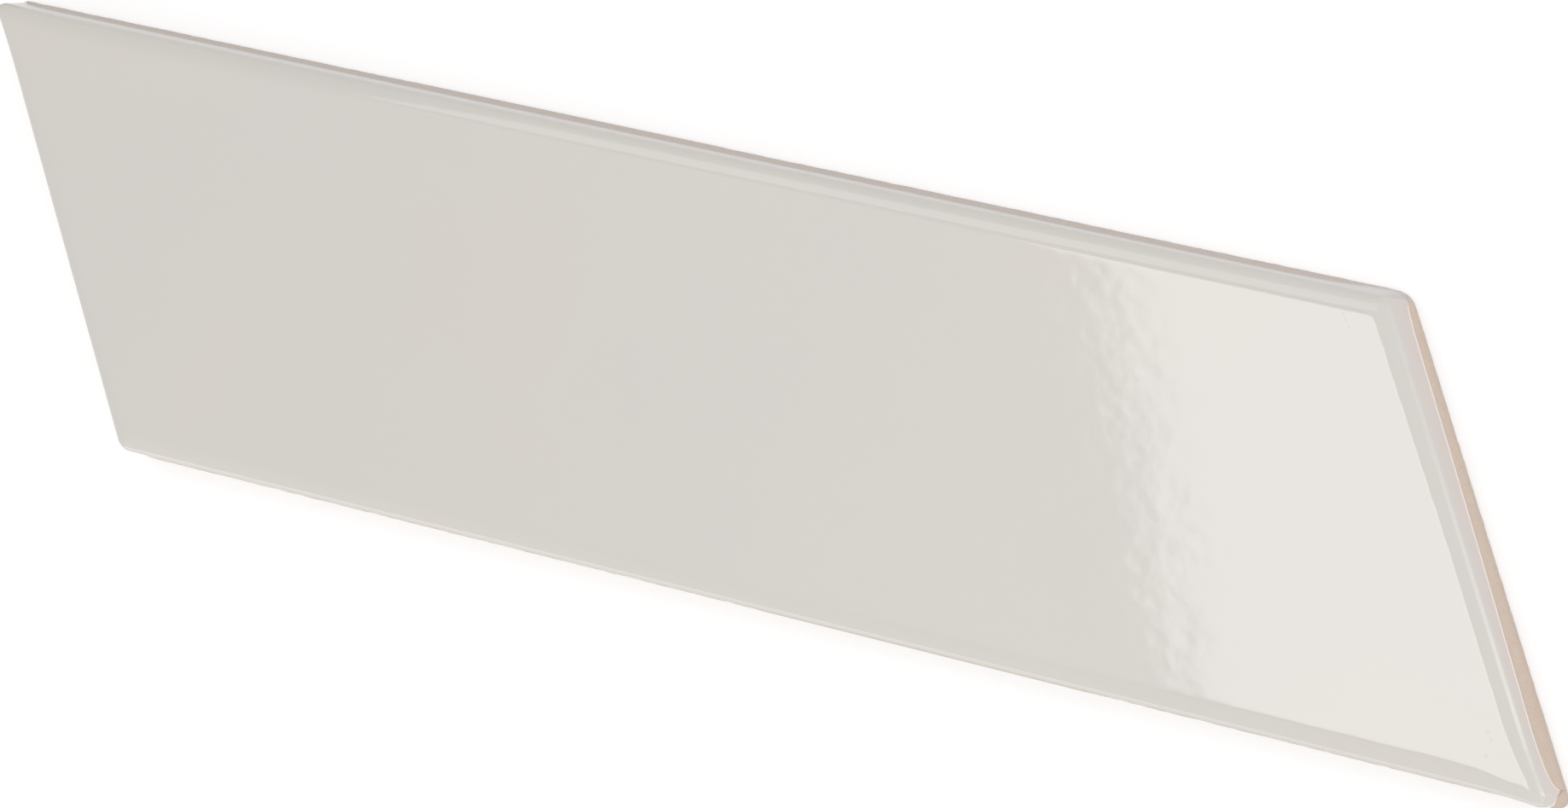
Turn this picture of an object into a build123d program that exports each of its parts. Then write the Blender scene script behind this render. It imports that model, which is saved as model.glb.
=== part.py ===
"""A chevron wall tile: one dry-pressed and glazed piece, lying on its bonding face.

The plan is a parallelogram with long straight edges and slanted ends. Its two acute
corners are tight, and its two obtuse corners are eased.
The sides lean inwards from the foot to the shoulder, the shoulder is rounded,
and the face falls away to it in a shallow cushion.
The bonding face has a waffle of ribs that keys into the adhesive.
The origin is the middle of the bonding face. The glazed face looks along +Z.
"""

import os
from math import radians, sin, tan

from build123d import *

# The plan, at the foot, in millimetres and degrees
edge_length = 186.0
tile_width = 52.0
end_angle = 60.0
acute_corner_radius = 1.2
obtuse_corner_radius = 3.0
face_corner_radius = 1.0

# The section through an edge
thickness = 7.5
side_lean = 0.95
cushion_width = 2.4
cushion_drop = 0.35
cushion_steps = 5
shoulder_radius = 0.9
foot_radius = 0.3

# The waffle on the bonding face
rim_width = 4.0
rib_width = 2.0
key_depth = 0.6
key_pitch_along = 18.0
key_pitch_across = 11.0
key_corner_radius = 0.8
key_draft = 25.0

end_rise = sin(radians(end_angle))
end_run = 1 / tan(radians(end_angle))


def slanted_outline(length, width, acute_radius, obtuse_radius, height):
    """A parallelogram sketch with slanted ends, the length measured along an edge."""
    lean = width / 2 * end_run
    with BuildSketch(Plane.XY.offset(height)) as outline:
        with BuildLine():
            Polyline(
                (-length / 2 + lean, -width / 2),
                (length / 2 + lean, -width / 2),
                (length / 2 - lean, width / 2),
                (-length / 2 - lean, width / 2),
                close=True,
            )
        make_face()
        fillet(outline.vertices().sort_by(Axis.X)[1:-1], obtuse_radius)
        tips = outline.vertices().sort_by(Axis.X)
        fillet([tips[0], tips[-1]], acute_radius)
    return outline.sketch


def plan(inset, height):
    """The plan of the tile, moved in from the foot outline by inset."""
    acute_radius = max(acute_corner_radius - inset, face_corner_radius)
    obtuse_radius = max(obtuse_corner_radius - inset, face_corner_radius)
    return slanted_outline(
        edge_length - 2 * inset / end_rise,
        tile_width - 2 * inset,
        acute_radius,
        obtuse_radius,
        height,
    )


def even_count(length, pitch):
    """The even number of pockets that comes nearest to the pitch along a length."""
    return max(2, 2 * round(length / pitch / 2))


shoulder_height = thickness - cushion_drop
level_tolerance = 0.001

# The field of pockets, inside a plain rim. An even number each way puts a rib on the middle.
field_length = edge_length - 2 * rim_width / end_rise + rib_width / end_rise
field_width = tile_width - 2 * rim_width + rib_width
columns = even_count(field_length, key_pitch_along)
rows = even_count(field_width, key_pitch_across)
step_along = field_length / columns
step_across = field_width / rows

pocket_places = []
for row in range(rows):
    y = (row - (rows - 1) / 2) * step_across
    for column in range(columns):
        x = (column - (columns - 1) / 2) * step_along - y * end_run
        pocket_places.append((x, y))

with BuildPart() as pocket:
    opening = slanted_outline(
        step_along - rib_width / end_rise,
        step_across - rib_width,
        key_corner_radius,
        key_corner_radius,
        0,
    )
    extrude(opening, key_depth, taper=key_draft)

with BuildPart() as tile:
    # The leaning sides
    loft([plan(0, 0), plan(side_lean, shoulder_height)], ruled=True)

    # The cushion, which falls away from the flat of the face as a parabola
    cushion = []
    for step in range(cushion_steps + 1):
        share = step / cushion_steps
        height = thickness - cushion_drop * (1 - share) ** 2
        cushion.append(plan(side_lean + cushion_width * share, height))
    loft(cushion)

    # The rounded shoulder, and the broken edge round the foot
    shoulder = tile.edges().filter_by_position(
        Axis.Z, shoulder_height - level_tolerance, shoulder_height + level_tolerance
    )
    fillet(shoulder, shoulder_radius)
    fillet(tile.faces().sort_by(Axis.Z)[0].outer_wire().edges(), foot_radius)

    # The waffle: pockets pressed into the bonding face, with ribs between them
    with Locations(*pocket_places):
        add(pocket.part, mode=Mode.SUBTRACT)

tile.part.label = "chevron_tile"
print("volume", tile.part.volume, "valid", tile.part.is_valid, "solids", len(tile.part.solids()))
os.makedirs("parts", exist_ok=True)
export_step(tile.part, "parts/chevron_tile.step")
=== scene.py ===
import math

import bpy
from mathutils import Matrix, Vector, noise


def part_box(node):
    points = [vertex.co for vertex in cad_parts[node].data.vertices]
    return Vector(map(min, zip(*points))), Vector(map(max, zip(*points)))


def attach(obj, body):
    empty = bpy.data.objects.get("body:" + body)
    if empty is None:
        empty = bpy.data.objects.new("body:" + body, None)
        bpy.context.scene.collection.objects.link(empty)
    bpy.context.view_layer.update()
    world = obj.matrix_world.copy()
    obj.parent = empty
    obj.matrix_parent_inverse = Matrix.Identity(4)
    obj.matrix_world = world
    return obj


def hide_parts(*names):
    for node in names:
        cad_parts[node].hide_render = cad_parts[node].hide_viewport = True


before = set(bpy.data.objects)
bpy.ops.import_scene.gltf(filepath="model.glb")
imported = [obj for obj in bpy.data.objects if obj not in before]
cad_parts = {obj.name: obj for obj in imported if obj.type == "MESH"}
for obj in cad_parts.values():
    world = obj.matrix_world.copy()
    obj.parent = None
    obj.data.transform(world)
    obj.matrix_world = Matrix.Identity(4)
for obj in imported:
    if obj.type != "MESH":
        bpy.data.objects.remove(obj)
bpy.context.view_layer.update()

# A chevron wall tile lying on its back: +X along the long edges, +Z out of the glazed face

mm = 0.001
hair = 1e-6 * mm    # a smaller move or change of scale is left out


def deselectAll():
    if bpy.context.object and bpy.context.object.mode != "OBJECT":
        bpy.ops.object.mode_set(mode="OBJECT")
    bpy.ops.object.select_all(action="DESELECT")


def clearPicks(mesh):
    for kind in (mesh.polygons, mesh.edges, mesh.vertices):
        kind.foreach_set("select", [False] * len(kind))


def pickPoints(piece, wanted):
    # selects the mesh points that a rule wants, and leaves edit mode on
    bpy.ops.object.mode_set(mode="OBJECT")
    clearPicks(piece.data)
    for point in piece.data.vertices:
        point.select = bool(wanted(point.co))
    bpy.ops.object.mode_set(mode="EDIT")
    bpy.ops.mesh.select_mode(type="VERT")


def pickEdges(piece, wanted):
    # selects the edges that a rule wants, told their two ends
    bpy.ops.object.mode_set(mode="OBJECT")
    mesh = piece.data
    points = mesh.vertices
    clearPicks(mesh)
    for edge in mesh.edges:
        a, b = edge.vertices
        if wanted(points[a].co, points[b].co):
            edge.select = points[a].select = points[b].select = True
    bpy.ops.object.mode_set(mode="EDIT")
    bpy.ops.mesh.select_mode(type="EDGE")


def pickFaces(piece, wanted):
    # selects the faces that a rule wants, told their middle and normal
    bpy.ops.object.mode_set(mode="OBJECT")
    clearPicks(piece.data)
    for face in piece.data.polygons:
        face.select = bool(wanted(face.center, face.normal))
    bpy.ops.object.mode_set(mode="EDIT")
    bpy.ops.mesh.select_mode(type="FACE")


# Camera: on the side of the right end, looking down at the face

camera = {
    "place": Vector((256.789, 48.225, 560.7)) * mm,
    "right": Vector((0.88961, 0.1899, -0.41537)),
    "up": Vector((-0.20652, 0.97843, 0.00501)),
    "lens": 121.275,
    "sensor": 36,
    "nearest": 10 * mm,
}


def addCamera():
    right = camera["right"].normalized()
    back = right.cross(camera["up"]).normalized()
    up = back.cross(right)
    turn = Matrix((right, up, back)).transposed()
    deselectAll()
    bpy.ops.object.camera_add(location=camera["place"], rotation=turn.to_euler())
    eye = bpy.context.object
    eye.name = "camera"
    eye.data.lens = camera["lens"]
    eye.data.sensor_width = camera["sensor"]
    eye.data.clip_start = camera["nearest"]
    bpy.context.scene.camera = eye


# Tile: a circle pulled apart into the plan, then drawn up through the section ring by ring

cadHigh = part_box("chevron_tile")[1]
tile = {
    "edge": 186 * mm,
    "width": 52 * mm,
    "endAngle": math.radians(60),
    "acuteRadius": 1.2 * mm,
    "obtuseRadius": 3 * mm,
    "faceCornerRadius": 1 * mm,
    "outlinePoints": 96,
    "lean": 0.95 * mm,
    "shoulderRadius": 0.9 * mm,
    "shoulderSink": 0.93,       # the middle of the shoulder's round lies this share of its radius down
    "shoulderSteps": 9,
    "cushionWidth": 2.4 * mm,
    "cushionDrop": 0.35 * mm,
    "cushionSteps": 8,
    "footRadius": 0.3 * mm,
    "footSteps": 3,
    "skirtHeight": 1.6 * mm,    # the fired body stands straight up to here
    "skirtInset": 0.06 * mm,
    "lipHeight": 3.9 * mm,      # where the glaze ends before its edge is drawn up or down
    "coat": 0.16 * mm,          # the glaze stands about this far out of the fired body
    "coatStep": 0.9,            # the body steps back by this share of the coat under the lip
    "lipTurns": (30, 60, 90, 125),    # degrees round the bead at the edge of the glaze
    "wallStep": 0.6 * mm,
    "faceDrop": 0.03 * mm,      # keeps the waves of the glaze under the top of the box
    "longestStretch": 2 * mm,   # straight stretches longer than this are cut up
    "straight": 0.999,          # the cosine of the most that such a stretch may turn from its side
    "longCuts": (12, 25),       # 13 x 26 stretches along each long side
    "endCuts": (9, 10),         # 10 x 11 along each end
    "height": cadHigh.z,
}
rise = math.sin(tile["endAngle"])
run = 1 / math.tan(tile["endAngle"])
wallSlope = tile["lean"] / (tile["height"] - tile["faceDrop"] - tile["cushionDrop"])
flatInset = tile["lean"] + tile["cushionWidth"]
tinyRadius = 0.02 * mm    # no corner's arc gets smaller than this
acuteCorners = ("topLeft", "lowRight")


def cornerRadius(name, inset):
    # the plan radius of a corner, on the outline that lies inset from the foot
    foot = tile["acuteRadius"] if name in acuteCorners else tile["obtuseRadius"]
    radius = max(foot - inset, tile["faceCornerRadius"])
    return max(min(radius, flatInset + tile["faceCornerRadius"] - inset), tinyRadius)


def cornerCentre(name, inset):
    gap = inset + cornerRadius(name, inset)
    halfWidth = tile["width"] / 2 - gap
    halfEdge = tile["edge"] / 2 - gap / rise
    lean = halfWidth * run
    return {
        "topLeft": Vector((-halfEdge - lean, halfWidth, 0)),
        "topRight": Vector((halfEdge - lean, halfWidth, 0)),
        "lowRight": Vector((halfEdge + lean, -halfWidth, 0)),
        "lowLeft": Vector((-halfEdge + lean, -halfWidth, 0)),
    }[name]


# the arc of each corner lies between the normals of its two sides
cornerArcs = {"topLeft": (90, 210), "topRight": (30, 90), "lowRight": (-90, 30), "lowLeft": (210, 270)}


def cornerOf(point):
    return min(cornerArcs, key=lambda name: (cornerCentre(name, 0).xy - point.xy).length)


def sectionRings():
    # (height, inset) of each ring from the foot to the flat of the face, and the top of the wall
    height = tile["height"] - tile["faceDrop"]
    shoulderHeight = height - tile["cushionDrop"]
    foot, radius = tile["footRadius"], tile["shoulderRadius"]
    lip, coat = tile["lipHeight"], tile["coat"]
    rings = []
    for step in range(1, tile["footSteps"] + 1):
        turn = math.pi / 2 * step / tile["footSteps"]
        rings.append((foot * (1 - math.cos(turn)), foot * (1 - math.sin(turn)) + tile["skirtInset"]))
    # the bare side: a straight skirt, then the lean up to the edge of the glaze
    skirt = tile["skirtHeight"]
    bareInset = lip * wallSlope + coat * tile["coatStep"]
    rings.append(((foot + skirt) / 2, tile["skirtInset"]))
    rings.append((skirt, tile["skirtInset"]))
    bareSteps = round((lip - skirt) / tile["wallStep"])
    for step in range(1, bareSteps + 1):
        share = step / bareSteps
        inset = tile["skirtInset"] + (bareInset - tile["skirtInset"]) * share
        rings.append((skirt + (lip - skirt) * share, inset))
    # the bead where the glaze ends, a part turn out of the body
    for turn in tile["lipTurns"]:
        angle = math.radians(turn)
        level = lip + coat * (1 - math.cos(angle))
        rings.append((level, level * wallSlope + coat * (tile["coatStep"] - math.sin(angle))))
    # the glazed side up to where the shoulder's round begins
    leanAngle = math.atan(wallSlope)
    centreHeight = shoulderHeight - radius * tile["shoulderSink"]
    centreInset = centreHeight * wallSlope + radius / math.cos(leanAngle)
    low = rings[-1][0]
    top = centreHeight + radius * math.sin(leanAngle)
    glazedSteps = max(2, round((top - low) / tile["wallStep"]))
    for step in range(1, glazedSteps + 1):
        level = low + (top - low) * step / glazedSteps
        rings.append((level, level * wallSlope))
    # the round shoulder, up to the slope of the cushion's edge
    last = math.pi / 2 - math.atan(2 * tile["cushionDrop"] / tile["cushionWidth"])
    for step in range(1, tile["shoulderSteps"] + 1):
        angle = leanAngle + (last - leanAngle) * step / tile["shoulderSteps"]
        rings.append((centreHeight + radius * math.sin(angle), centreInset - radius * math.cos(angle)))
    # the cushion, a parabola that ends level with the flat
    startHeight, startInset = rings[-1]
    for step in range(1, tile["cushionSteps"] + 1):
        share = step / tile["cushionSteps"]
        level = height - (height - startHeight) * (1 - share) ** 2
        rings.append((level, startInset + (flatInset - startInset) * share))
    # the rim of the flat, in which the corner arcs close up
    for share in (0.5, 1):
        rings.append((height, flatInset + tile["faceCornerRadius"] * share))
    return rings, top


sideRings, wallTop = sectionRings()


def drawRing(piece, old, new):
    # draws the outline up from one (height, inset) to the next, corner by corner
    lift = Vector((0, 0, new[0] - old[0]))
    bpy.ops.mesh.extrude_edges_move(TRANSFORM_OT_translate={"value": lift})
    bpy.ops.object.mode_set(mode="OBJECT")
    fresh = [point.index for point in piece.data.vertices if point.select]
    corners = {name: [] for name in cornerArcs}
    for index in fresh:
        corners[cornerOf(piece.data.vertices[index].co)].append(index)
    for name, indices in corners.items():
        clearPicks(piece.data)
        for index in indices:
            piece.data.vertices[index].select = True
        bpy.ops.object.mode_set(mode="EDIT")
        bpy.ops.mesh.select_mode(type="VERT")
        oldCentre, newCentre = cornerCentre(name, old[1]), cornerCentre(name, new[1])
        scale = cornerRadius(name, new[1]) / cornerRadius(name, old[1])
        if abs(scale - 1) > hair:
            middle = oldCentre + Vector((0, 0, new[0]))
            bpy.ops.transform.resize(value=(scale, scale, 1), center_override=middle)
        if (newCentre - oldCentre).length > hair:
            bpy.ops.transform.translate(value=newCentre - oldCentre)
        bpy.ops.object.mode_set(mode="OBJECT")
    clearPicks(piece.data)
    chosen = set(fresh)
    for edge in piece.data.edges:
        if chosen.issuperset(edge.vertices):
            edge.select = True
            for index in edge.vertices:
                piece.data.vertices[index].select = True
    bpy.ops.object.mode_set(mode="EDIT")
    bpy.ops.mesh.select_mode(type="EDGE")


def drawSides(piece):
    # the foot outline, then every ring of the section
    names = {}
    for point in piece.data.vertices:
        angle = math.degrees(math.atan2(point.co.y, point.co.x))
        for name, (low, high) in cornerArcs.items():
            if low < angle < high or low < angle + 360 < high:
                names[point.index] = name
    startInset = tile["footRadius"] + tile["skirtInset"]
    for name in cornerArcs:
        bpy.ops.object.mode_set(mode="OBJECT")
        clearPicks(piece.data)
        for point in piece.data.vertices:
            point.select = names[point.index] == name
        bpy.ops.object.mode_set(mode="EDIT")
        bpy.ops.mesh.select_mode(type="VERT")
        scale = cornerRadius(name, startInset)
        bpy.ops.transform.resize(value=(scale, scale, 1), center_override=(0, 0, 0))
        bpy.ops.transform.translate(value=cornerCentre(name, startInset))
    bpy.ops.mesh.select_all(action="SELECT")
    old = (0, startInset)
    for new in sideRings:
        drawRing(piece, old, new)
        old = new
    # the last arcs are tiny: each closes to a point
    bpy.ops.mesh.remove_doubles(threshold=tinyRadius * 5)


def isStretch(a, b, direction):
    step = b - a
    return step.length > tile["longestStretch"] and abs(step.normalized().dot(direction)) > tile["straight"]


def cutSides(piece):
    # short stretches along the straight sides, so that they can take waves
    along = Vector((1, 0, 0))
    across = Vector((-math.cos(tile["endAngle"]), math.sin(tile["endAngle"]), 0))
    for direction, cuts in ((along, tile["longCuts"]), (across, tile["endCuts"])):
        for count in cuts:
            pickEdges(piece, lambda a, b: isStretch(a, b, direction))
            bpy.ops.mesh.subdivide(number_cuts=count)


def fillFace(piece):
    # the flat of the face: its two long rails joined by an even grid
    level, inset = sideRings[-1]
    halfWidth = tile["width"] / 2 - inset
    endSteps = (tile["endCuts"][0] + 1) * (tile["endCuts"][1] + 1)
    close = tinyRadius / 10

    def onRail(point):
        return abs(point.z - level) < close and abs(abs(point.y) - halfWidth) < tinyRadius * 2

    pickEdges(piece, lambda a, b: abs(a.y - b.y) < close and onRail(a) and onRail(b))
    bpy.ops.mesh.bridge_edge_loops(number_cuts=endSteps - 1, interpolation="LINEAR")
    pickPoints(piece, lambda co: abs(co.z - level) < close)
    bpy.ops.mesh.remove_doubles(threshold=tinyRadius / 2)


# Back: a waffle of shallow pockets inside a plain rim

back = {
    "rimWidth": 4 * mm,
    "ribWidth": 2 * mm,
    "keyDepth": 0.6 * mm,
    "keyDraft": math.radians(25),
    "keyCornerRadius": 0.8 * mm,
    "cornerSteps": 3,
    "columns": 10,
    "rows": 4,
}


def addWaffle():
    # a grid slanted like the plan, each cell inset to a rib and pressed in as a pocket
    fieldInset = back["rimWidth"] - back["ribWidth"] / 2
    length = tile["edge"] - 2 * fieldInset / rise
    width = tile["width"] - 2 * fieldInset
    deselectAll()
    bpy.ops.mesh.primitive_grid_add(
        x_subdivisions=back["columns"], y_subdivisions=back["rows"], size=1, location=(0, 0, 0))
    piece = bpy.context.object
    piece.name = "bonding_face"
    bpy.ops.object.mode_set(mode="EDIT")
    bpy.ops.mesh.select_all(action="SELECT")
    bpy.ops.transform.resize(value=(length, width, 1))
    for row in range(back["rows"] + 1):
        y = (row / back["rows"] - 0.5) * width
        pickPoints(piece, lambda co: abs(co.y - y) < 0.01 * mm)
        bpy.ops.transform.translate(value=(-y * run, 0, 0))
    bpy.ops.mesh.select_mode(type="FACE")
    bpy.ops.mesh.select_all(action="SELECT")
    bpy.ops.mesh.inset(use_individual=True, thickness=back["ribWidth"] / 2)
    bpy.ops.mesh.bevel(affect="VERTICES", offset=back["keyCornerRadius"], segments=back["cornerSteps"])
    # the pockets are the faces that cover more than half a cell
    cell = length / back["columns"] * width / back["rows"]
    bpy.ops.object.mode_set(mode="OBJECT")
    clearPicks(piece.data)
    for face in piece.data.polygons:
        face.select = face.area > cell / 2
    bpy.ops.object.mode_set(mode="EDIT")
    bpy.ops.mesh.select_mode(type="FACE")
    draft = back["keyDepth"] * math.tan(back["keyDraft"])
    bpy.ops.mesh.inset(use_individual=True, thickness=draft, depth=back["keyDepth"])
    bpy.ops.object.mode_set(mode="OBJECT")
    return piece


def closeBack(piece, waffle):
    # the waffle joins the tile, and a plain rim joins its edge to the foot
    deselectAll()
    waffle.select_set(True)
    piece.select_set(True)
    bpy.context.view_layer.objects.active = piece
    bpy.ops.object.join()
    bpy.ops.object.mode_set(mode="EDIT")
    bpy.ops.mesh.select_mode(type="EDGE")
    bpy.ops.mesh.select_all(action="DESELECT")
    bpy.ops.mesh.select_non_manifold()
    bpy.ops.mesh.bridge_edge_loops()
    bpy.ops.mesh.select_all(action="SELECT")
    bpy.ops.mesh.normals_make_consistent(inside=False)
    bpy.ops.mesh.select_all(action="DESELECT")
    bpy.ops.mesh.select_non_manifold()
    bpy.ops.object.mode_set(mode="OBJECT")
    print("back closed:", sum(edge.select for edge in piece.data.edges), "open edges")


# Lip: the height at which the glaze ends, told by its distance in mm along the outline from the
# middle of the nearest corner, counter-clockwise

lip = {
    "topRight": ((-29, 3.4), (-12, 2.8), (-8, 2.75), (-4.5, 2.6), (-3, 2.45), (-1.6, 2.2), (-0.6, 1.6),
                 (0.3, 0.6), (1.2, 0.6), (2.5, 0.9), (4, 1.7), (6, 2.8), (9, 3.6), (14, 4.1), (91, 3.9)),
    "topLeft": ((-91, 3.9), (-50, 3.75), (-15, 3.5), (-4.5, 3.5), (-3, 3.0), (-2, 2.0), (-1.3, 0.7), (0, 0.6),
                (1.3, 1.4), (3, 3.4), (8, 4.0), (29, 4.0)),
    "lowLeft": ((-29, 4.0), (-4, 3.9), (0, 3.5), (4, 3.9), (91, 4.0)),
    "lowRight": ((-91, 4.0), (-6, 3.9), (-0.8, 3.5), (-0.2, 3.9), (0.4, 4.1), (1.05, 4.2), (1.4, 4.1),
                 (1.65, 3.5), (1.85, 1.9), (1.95, 2.1), (2.2, 2.4), (2.5, 2.9), (2.85, 3.4), (3.5, 3.85),
                 (4.3, 4.15), (7, 4.4), (10, 4.35), (18, 4.0), (29, 3.45)),
    "lowest": 0.5 * mm,
    "ragged": 0.07 * mm,
    "raggedSize": 0.9 * mm,
    "beadTop": 1.7,             # just above the bead's last ring, as a share of the coat
    "thinReach": 5 * mm,        # how far above its edge the glaze is still thin
    "rearHighlightFade": 0.12,           # along the rear side, which lies in shade, the glaze's edge isn't as pale and gets no painted highlight
    "rearTurn": 0.3,            # and gets there while the outward direction rises by this in Y
    "dripDistance": 2.6 * mm,   # the run of glaze near the acute corner gets a finer mesh
    "dripHalfWidth": 3 * mm,
    "dripReach": 7.2 * mm,
    "dripCuts": 2,
    "dripSteepness": 0.95,      # only faces whose normals rise by less than this
}


def outlinePlace(point):
    # the nearest corner, the distance along the outline from its middle, and the outward direction
    name = cornerOf(point)
    low, high = cornerArcs[name]
    offset = point.xy - cornerCentre(name, 0).xy
    middle = math.radians((low + high) / 2)
    half = math.radians((high - low) / 2)
    turn = (math.atan2(offset.y, offset.x) - middle + math.pi) % (2 * math.pi) - math.pi
    held = max(-half, min(half, turn))
    outward = Vector((math.cos(middle + held), math.sin(middle + held), 0))
    beyond = abs(Vector((-outward.y, outward.x)).dot(offset)) if held != turn else 0
    return name, cornerRadius(name, 0) * held + math.copysign(beyond, held), outward


def outlineInset(point):
    # how far inside the foot outline a point is
    name, along, outward = outlinePlace(point)
    return cornerRadius(name, 0) - outward.xy.dot(point.xy - cornerCentre(name, 0).xy)


def lipLevel(point):
    # the height at which the glaze ends at this place along the outline
    name, along, outward = outlinePlace(point)
    stops = lip[name]
    along /= mm
    level = stops[0][1] if along < stops[0][0] else stops[-1][1]
    for (start, low), (end, high) in zip(stops, stops[1:]):
        if start <= along < end:
            level = low + (high - low) * (along - start) / (end - start)
    level = level * mm + lip["ragged"] * noise.noise(Vector((point.x, point.y, 0)) / lip["raggedSize"])
    return max(level, lip["lowest"]), outward


def refineDrip(piece):
    # a finer mesh where a run of glaze hangs near the acute corner
    def nearDrip(center, normal):
        name, along, outward = outlinePlace(center)
        reach = (cornerCentre(name, 0).xy - center.xy).length
        onWall = tile["footRadius"] < center.z < wallTop and abs(normal.z) < lip["dripSteepness"]
        return (onWall and name == "lowRight" and reach < lip["dripReach"]
                and abs(along - lip["dripDistance"]) < lip["dripHalfWidth"])

    pickFaces(piece, nearDrip)
    bpy.ops.mesh.subdivide(number_cuts=lip["dripCuts"])
    bpy.ops.object.mode_set(mode="OBJECT")


def slideLip(piece):
    # every column of the side slides along the wall, until its edge of glaze stands at its own level.
    # The columns move by different amounts, so this is done point by point
    foot, base = tile["footRadius"], tile["lipHeight"]
    beadTop = base + tile["coat"] * lip["beadTop"]
    endFacing = math.cos(tile["endAngle"])    # how far the right end looks to the rear
    thin = piece.data.attributes.new("thinGlaze", "FLOAT", "POINT")
    for point in piece.data.vertices:
        place = point.co
        if not foot < place.z < wallTop or outlineInset(place) > tile["lean"] + tile["shoulderRadius"]:
            continue
        level, outward = lipLevel(place)
        shift = level - base
        if place.z < base:
            lift = shift * (place.z - foot) / (base - foot)
        elif place.z <= beadTop:
            lift = shift
        else:
            lift = shift * (wallTop - place.z) / (wallTop - beadTop)
        # painted highlight: the pale edge of the glaze is taken down where the outline faces the rear side,
        # which lies in shade
        rearShade = max(0, min(1, (outward.y - endFacing) / lip["rearTurn"])) * lip["rearHighlightFade"]
        thin.data[point.index].value = max(0, 1 - rearShade - (place.z + lift - level) / lip["thinReach"])
        out = min(-lift * wallSlope, max(0, outlineInset(place) - tile["skirtInset"]))
        place += outward * out
        place.z += lift


# Tips: at its two acute corners the face reaches further into the point than its sides do

tips = {
    "topLeft": {"shoulder": 0.5 * mm, "flat": 1.4 * mm},
    "lowRight": {"shoulder": 0.85 * mm, "flat": 2.1 * mm},
    "halfWidth": 2.2 * mm,
    "fade": 14 * mm,
    "rise": 1.2,    # the power by which the wall's share grows with its height
}


def fillTips(piece):
    # each point near a tip moves out along the line that halves the corner, more the higher it stands.
    # Along that line a 60 degree point is twice as deep as the outline's inset
    bare = tile["skirtHeight"]
    for name in acuteCorners:
        low, high = cornerArcs[name]
        angle = math.radians((low + high) / 2)
        out = Vector((math.cos(angle), math.sin(angle)))
        corner = cornerCentre(name, 0).xy + out * cornerRadius(name, 0) * 2
        shoulder, flat = tips[name]["shoulder"], tips[name]["flat"]
        for point in piece.data.vertices:
            step = point.co.xy - corner
            depth, beside = -step.dot(out), abs(step.dot(Vector((-out.y, out.x))))
            # so far away the share is next to nothing
            far = depth > tips["fade"] * 2 or beside > tips["halfWidth"] * 3
            if far or point.co.z < tile["footRadius"]:
                continue
            inset = depth / 2 - beside * rise
            raised = max(0, min(1, (inset - tile["lean"]) / tile["cushionWidth"]))
            if point.co.z < wallTop:
                amount = shoulder * (max(0, point.co.z - bare) / (wallTop - bare)) ** tips["rise"]
            else:
                amount = shoulder + (flat - shoulder) * raised
            inner = max(0, depth - flatInset * 2) / tips["fade"]
            share = math.exp(-(beside / tips["halfWidth"]) ** 2) * max(0, 1 - inner) ** 2
            point.co.xy += out * amount * share


def makeTile():
    # a circle whose radius of 1 reaches to the middle of each edge, so that four of its edges face
    # the four sides squarely and can be drawn out along them
    count = tile["outlinePoints"]
    deselectAll()
    bpy.ops.mesh.primitive_circle_add(
        vertices=count, radius=1 / math.cos(math.pi / count), fill_type="NOTHING",
        location=(0, 0, 0), rotation=(0, 0, math.pi / count))
    piece = bpy.context.object
    piece.name = "glazed_tile"
    bpy.ops.object.transform_apply(location=False, rotation=True, scale=False)
    drawSides(piece)
    print("sides drawn:", len(sideRings), "rings,", len(piece.data.vertices), "points")
    cutSides(piece)
    fillFace(piece)
    bpy.ops.object.mode_set(mode="OBJECT")
    print("face filled:", len(piece.data.polygons), "faces")
    return piece


# Waves: the glaze settles in shallow waves, and the bare clay is rough and chipped at the foot

waves = {
    "glazed": (
        {"name": "longWaves", "size": 22 * mm, "strength": 0.020 * mm, "middle": 0.5},
        {"name": "settledWaves", "size": 7 * mm, "strength": 0.007 * mm, "middle": 0.5},
        {"name": "shortWaves", "size": 1.8 * mm, "strength": 0.009 * mm, "middle": 0.5},
    ),
    "bare": (
        {"name": "pressedGrain", "size": 1.1 * mm, "strength": 0.12 * mm, "middle": 0.82},
    ),
    "smoothAngle": math.radians(38),
    "level": 0.05 * mm,    # the points below this stay on the floor
}


def addWaves(piece):
    # the points on the edge of the glaze itself, and the bonding face, stay as they are
    glazed, bare = set(), set()
    for face in piece.data.polygons:
        (glazed if face.material_index else bare).update(face.vertices)
    points = piece.data.vertices
    loose = [index for index in bare - glazed if points[index].co.z > waves["level"]
             and outlineInset(points[index].co) < tile["footRadius"] + tile["lean"]]
    for group, indices in (("glazed", list(glazed - bare)), ("bare", loose)):
        piece.vertex_groups.new(name=group).add(indices, 1, "REPLACE")
        for wave in waves[group]:
            pattern = bpy.data.textures.new(wave["name"], "CLOUDS")
            pattern.noise_scale = wave["size"]
            pattern.noise_depth = 1
            deselectAll()
            piece.select_set(True)
            bpy.context.view_layer.objects.active = piece
            bpy.ops.object.modifier_add(type="DISPLACE")
            shift = piece.modifiers[-1]
            shift.texture = pattern
            shift.texture_coords = "LOCAL"
            shift.vertex_group = group
            shift.strength = wave["strength"]
            shift.mid_level = wave["middle"]
            bpy.ops.object.modifier_apply(modifier=shift.name)
    bpy.ops.object.shade_smooth_by_angle(angle=waves["smoothAngle"])
    print("waves added")


# Finishes: sums on shader values are written as plain sums, and each adds its own Math nodes

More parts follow.
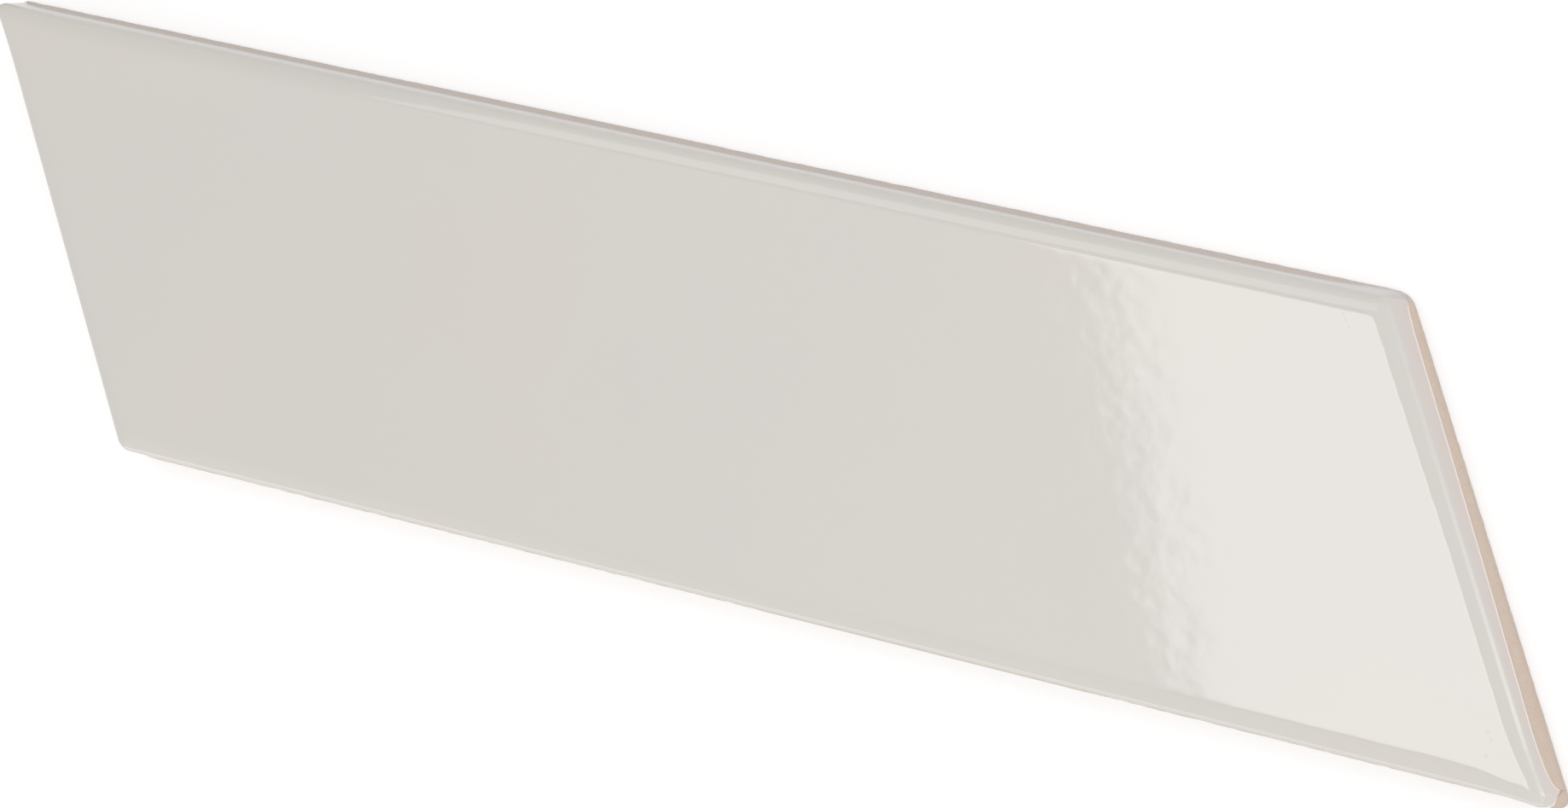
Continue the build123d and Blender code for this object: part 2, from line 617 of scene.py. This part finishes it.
class Value:
    def __init__(self, finish, socket):
        self.finish, self.socket = finish, socket

    def sum(self, operation, a, b):
        return self.finish.node("ShaderNodeMath", {"operation": operation}, {0: a, 1: b})

    def __add__(self, other):
        return self.sum("ADD", self, other)

    def __sub__(self, other):
        return self.sum("SUBTRACT", self, other)

    def __rsub__(self, other):
        return self.sum("SUBTRACT", other, self)

    def __mul__(self, other):
        return self.sum("MULTIPLY", self, other)

    __radd__ = __add__
    __rmul__ = __mul__


class Finish:
    # the nodes of a material, a lamp or the world
    def __init__(self, owner, kind="Principled BSDF"):
        self.owner = owner
        owner.use_nodes = True
        self.tree = owner.node_tree
        self.shader = self.tree.nodes[kind]

    def connect(self, socket, value):
        if isinstance(value, Value):
            self.tree.links.new(value.socket, socket)
        else:
            socket.default_value = value

    def node(self, kind, settings=None, inputs=None, output=0):
        # any node: its settings first, then the values or links of its sockets
        made = self.tree.nodes.new(kind)
        for name, value in (settings or {}).items():
            setattr(made, name, value)
        for name, value in (inputs or {}).items():
            self.connect(made.inputs[name], value)
        return Value(self, made.outputs[output])

    def set(self, **inputs):
        for name, value in inputs.items():
            self.connect(self.shader.inputs[name.replace("_", " ")], value)

    def places(self):
        return self.node("ShaderNodeTexCoord", output="Object")

    def rearShadeMask(self, places):
        # painted shade: 1 on the wall of the rear side, which lies in shade, and 0 on the face
        edge = tile["width"] / 2 - tile["lean"]
        depth = self.node("ShaderNodeSeparateXYZ", None, {0: places}, output="Y")
        return self.ramp(depth, edge, edge + rearShadeSoft)

    def noise(self, places, size, detail=2.0, rough=0.5, spin=0.0):
        # even noise from 0 to 1 with patches about one size across
        return self.node("ShaderNodeTexNoise", {"noise_dimensions": "4D"}, {
            "Vector": places, "W": spin, "Scale": 1 / size, "Detail": detail, "Roughness": rough})

    def ramp(self, value, low, high):
        # 0 at low and 1 at high
        return self.node("ShaderNodeMapRange", {"interpolation_type": "SMOOTHSTEP"}, {
            "Value": value, "From Min": low, "From Max": high})

    def mix(self, share, first, second):
        return self.node("ShaderNodeMix", {"data_type": "RGBA"}, {0: share, 6: first, 7: second}, output=2)

    def bump(self, height, depth):
        return self.node("ShaderNodeBump", None, {"Height": height, "Distance": depth, "Strength": 1.0})


# Each size is that of a noise's patches, and each range holds the values at which a tint starts and is full

rearShadeSoft = 0.12 * mm    # the painted shade of the rear side comes in over this depth
glaze = {
    "color": (0.625, 0.603, 0.565, 1),
    "warmer": (0.632, 0.603, 0.558, 1),
    "thin": (0.655, 0.578, 0.538, 1),
    # painted highlight: the pale line on the bead along the glaze's edge
    "edge": (0.85, 0.78, 0.75, 1),
    # painted shade: the darker glaze of the rear side's wall
    "rearShade": (0.54, 0.505, 0.475, 1),
    "roughness": 0.05,
    "cloudSize": 30 * mm,
    "cloudRange": (0.35, 0.65),
    "thinRange": (0.0, 0.5),
    "raggedSize": 0.5 * mm,
    "ragged": 0.2,
    # the values of the thin glaze at which the painted highlight comes in
    "lipHighlightRange": (0.91, 0.94),
    "peelSize": 1.2 * mm,
    "peelDepth": 0.0038 * mm,
}
biscuit = {
    "color": (0.63, 0.525, 0.432, 1),
    "pinker": (0.63, 0.508, 0.43, 1),
    # painted shade: the greyer, cooler clay of the rear side's wall
    "rearShade": (0.65, 0.577, 0.525, 1),
    "paler": (0.68, 0.59, 0.50, 1),
    # painted shade in the clay's pits
    "pitShade": (0.47, 0.375, 0.30, 1),
    "roughness": 0.92,
    "patchSize": 2.2 * mm,
    "patchRange": (0.35, 0.65),
    "fleckSize": 0.28 * mm,
    "fleckRange": (0.56, 0.70),
    "fleckShare": 0.7,
    "pitSize": 0.4 * mm,
    "pitRange": (0.60, 0.72),
    "pitShadeShare": 0.5,
    "pitDepth": 0.8,            # as a share of the grain's
    "grainSize": 0.16 * mm,
    "grainDepth": 0.03 * mm,
}
# small marks in the glaze of the face: the middle in mm and the radius in mm of each
marks = {
    "color": (0.55, 0.52, 0.475, 1),
    "share": 0.5,
    "core": 0.3,    # the share of the radius that has the full tint
    "spots": ((73.05, 22.4, 0.25), (73.45, 21.8, 0.25), (74.0, 21.1, 0.25),
              (98.58, -18.64, 0.35), (99.15, -19.45, 0.3), (98.95, -21.31, 0.35)),
}


def glazeFinish():
    finish = Finish(bpy.data.materials.new("glaze"))
    places = finish.places()
    cloud = finish.ramp(finish.noise(places, glaze["cloudSize"], spin=1.3), *glaze["cloudRange"])
    thin = finish.node("ShaderNodeAttribute", {"attribute_name": "thinGlaze"}, output="Fac")
    ragged = finish.noise(places, glaze["raggedSize"], detail=3, spin=4.1)
    share = finish.ramp(thin + (ragged - 0.5) * glaze["ragged"], *glaze["thinRange"])
    tone = finish.mix(cloud, glaze["color"], glaze["warmer"])
    tone = finish.mix(share, tone, glaze["thin"])
    # painted highlight on the bead, where the glaze is thinnest just above its edge
    tone = finish.mix(finish.ramp(thin, *glaze["lipHighlightRange"]), tone, glaze["edge"])
    # painted shade on the wall of the rear side
    tone = finish.mix(finish.rearShadeMask(places), tone, glaze["rearShade"])
    for x, y, radius in marks["spots"]:
        middle = (x * mm, y * mm, tile["height"] - tile["faceDrop"])
        away = finish.node(
            "ShaderNodeVectorMath", {"operation": "DISTANCE"}, {0: places, 1: middle}, output="Value")
        spot = 1 - finish.ramp(away, radius * marks["core"] * mm, radius * mm)
        tone = finish.mix(spot * marks["share"], tone, marks["color"])
    peel = finish.noise(places, glaze["peelSize"], detail=1, spin=7.7)
    finish.set(Base_Color=tone, Roughness=glaze["roughness"], IOR=1.5,
               Normal=finish.bump(peel, glaze["peelDepth"]))
    return finish.owner


def biscuitFinish():
    finish = Finish(bpy.data.materials.new("biscuit"))
    places = finish.places()
    patches = finish.noise(places, biscuit["patchSize"], detail=3, spin=2.2)
    patch = finish.ramp(patches, *biscuit["patchRange"])
    fleck = finish.ramp(finish.noise(places, biscuit["fleckSize"], spin=5.2), *biscuit["fleckRange"])
    pit = finish.ramp(finish.noise(places, biscuit["pitSize"], detail=3, spin=9.4), *biscuit["pitRange"])
    grain = finish.noise(places, biscuit["grainSize"], detail=4, rough=0.65, spin=3.0)
    tone = finish.mix(patch, biscuit["color"], biscuit["pinker"])
    # painted shade on the wall of the rear side
    tone = finish.mix(finish.rearShadeMask(places), tone, biscuit["rearShade"])
    tone = finish.mix(fleck * biscuit["fleckShare"], tone, biscuit["paler"])
    # painted shade in the pits that the bump presses in
    tone = finish.mix(pit * biscuit["pitShadeShare"], tone, biscuit["pitShade"])
    finish.set(Base_Color=tone, Roughness=biscuit["roughness"], IOR=1.5,
               Normal=finish.bump(grain - pit * biscuit["pitDepth"], biscuit["grainDepth"]))
    return finish.owner


def dress(piece):
    # bare clay up to the base of the bead, and glaze from there up
    piece.data.materials.clear()
    piece.data.materials.append(biscuitFinish())
    piece.data.materials.append(glazeFinish())
    for face in piece.data.polygons:
        face.material_index = int(face.center.z > tile["lipHeight"])


# Studio: a white floor, pale surroundings and six softboxes

studio = {
    "world": 0.684,
    "floorColor": (0.6, 0.6, 0.6, 1),
    "floorGlow": 0.46,
    "floorSize": 12,
    "floorLevel": -0.1 * mm,
    "softboxes": {
        "faceSoftbox": {
            "middle": Vector((-0.1625, -0.0827, 1.1037)), "across": Vector((1, 0, 0)),
            "up": Vector((0, 0.68, -0.734)), "size": (0.421, 0.4), "radiance": 2.8,
            "color": (1.03, 1.005, 1), "fade": 0.09},
        "spillSoftbox": {
            "middle": Vector((-0.589, -0.0754, 1.0958)), "across": Vector((1, 0, 0)),
            "up": Vector((0, 0.68, -0.734)), "size": (0.44, 0.5), "radiance": 0.4,
            "color": (1, 1, 1), "fade": 1},
        "rearSoftbox": {
            "middle": Vector((-0.42, 0.486, 1.2)), "across": Vector((1, 0, 0)),
            "up": Vector((0, 1, 0)), "size": (0.64, 0.43), "radiance": 1.2,
            "color": (0.96, 0.98, 1.04)},
        "sideSoftbox": {
            "middle": Vector((0.588, 0.298, 0.43)), "across": Vector((0.525, -0.851, 0)),
            "up": Vector((0, 0, -1)), "size": (0.24, 0.84), "radiance": 4.5,
            "color": (1, 0.99, 1), "fade": 1},
        "overheadSoftbox": {
            "middle": Vector((0.55, -0.1, 0.75)), "across": Vector((0, 1, 0)),
            "up": Vector((-0.806, 0, 0.591)), "size": (0.5, 0.5), "radiance": 0.6,
            "color": (1, 1, 1)},
        "frontSoftbox": {
            "middle": Vector((-0.2, -0.9, 0.24)), "across": Vector((0.976, -0.217, 0)),
            "up": Vector((0, 0, 1)), "size": (1.2, 0.42), "radiance": 1.6,
            "color": (1, 1, 1)},
    },
}


def addSoftbox(name, box):
    across, up = box["across"].normalized(), box["up"].normalized()
    turn = Matrix((across, up, across.cross(up))).transposed()
    deselectAll()
    bpy.ops.object.light_add(type="AREA", location=box["middle"], rotation=turn.to_euler())
    lamp = bpy.context.object
    lamp.name = name
    lamp.data.shape = "RECTANGLE"
    width, height = box["size"]
    lamp.data.size, lamp.data.size_y = width, height
    # an area lamp shines with a quarter of its power per square metre
    lamp.data.energy = 4 * box["radiance"] * width * height
    lamp.data.color = box["color"]
    if "fade" in box:
        # the box is dimmer towards one end
        cloth = Finish(lamp.data, "Emission")
        spot = cloth.node("ShaderNodeNewGeometry", output="Parametric")
        along = cloth.node("ShaderNodeSeparateXYZ", None, {0: spot}, output="X")
        cloth.set(Strength=cloth.ramp(along, 0.0, box["fade"]))


def addStudio():
    world = Finish(bpy.data.worlds.new("surroundings"), "Background")
    rays = world.node("ShaderNodeLightPath", output="Is Camera Ray")
    world.set(Strength=studio["world"] + (1 - studio["world"]) * rays, Color=(1, 1, 1, 1))
    bpy.context.scene.world = world.owner
    for name, box in studio["softboxes"].items():
        addSoftbox(name, box)
    deselectAll()
    bpy.ops.mesh.primitive_plane_add(size=studio["floorSize"], location=(0, 0, studio["floorLevel"]))
    floor = bpy.context.object
    floor.name = "floor"
    bpy.ops.object.transform_apply(location=True, rotation=True, scale=True)
    paper = Finish(bpy.data.materials.new("paper"))
    seen = [paper.node("ShaderNodeLightPath", output=name)
            for name in ("Is Camera Ray", "Is Glossy Ray", "Is Transmission Ray")]
    glow = (seen[0] + seen[1] + seen[2]) * studio["floorGlow"]
    paper.set(Base_Color=studio["floorColor"], Roughness=1.0, Specular_IOR_Level=0.0,
              Emission_Color=(1, 1, 1, 1), Emission_Strength=glow)
    floor.data.materials.append(paper.owner)
    print("studio lit")


addCamera()
tilePiece = makeTile()
closeBack(tilePiece, addWaffle())
dress(tilePiece)
refineDrip(tilePiece)
slideLip(tilePiece)
fillTips(tilePiece)
print("lip shaped:", len(tilePiece.data.polygons), "faces")
addWaves(tilePiece)
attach(tilePiece, "root")
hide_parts("chevron_tile")
addStudio()

view = bpy.context.scene.view_settings
view.view_transform = "Standard"
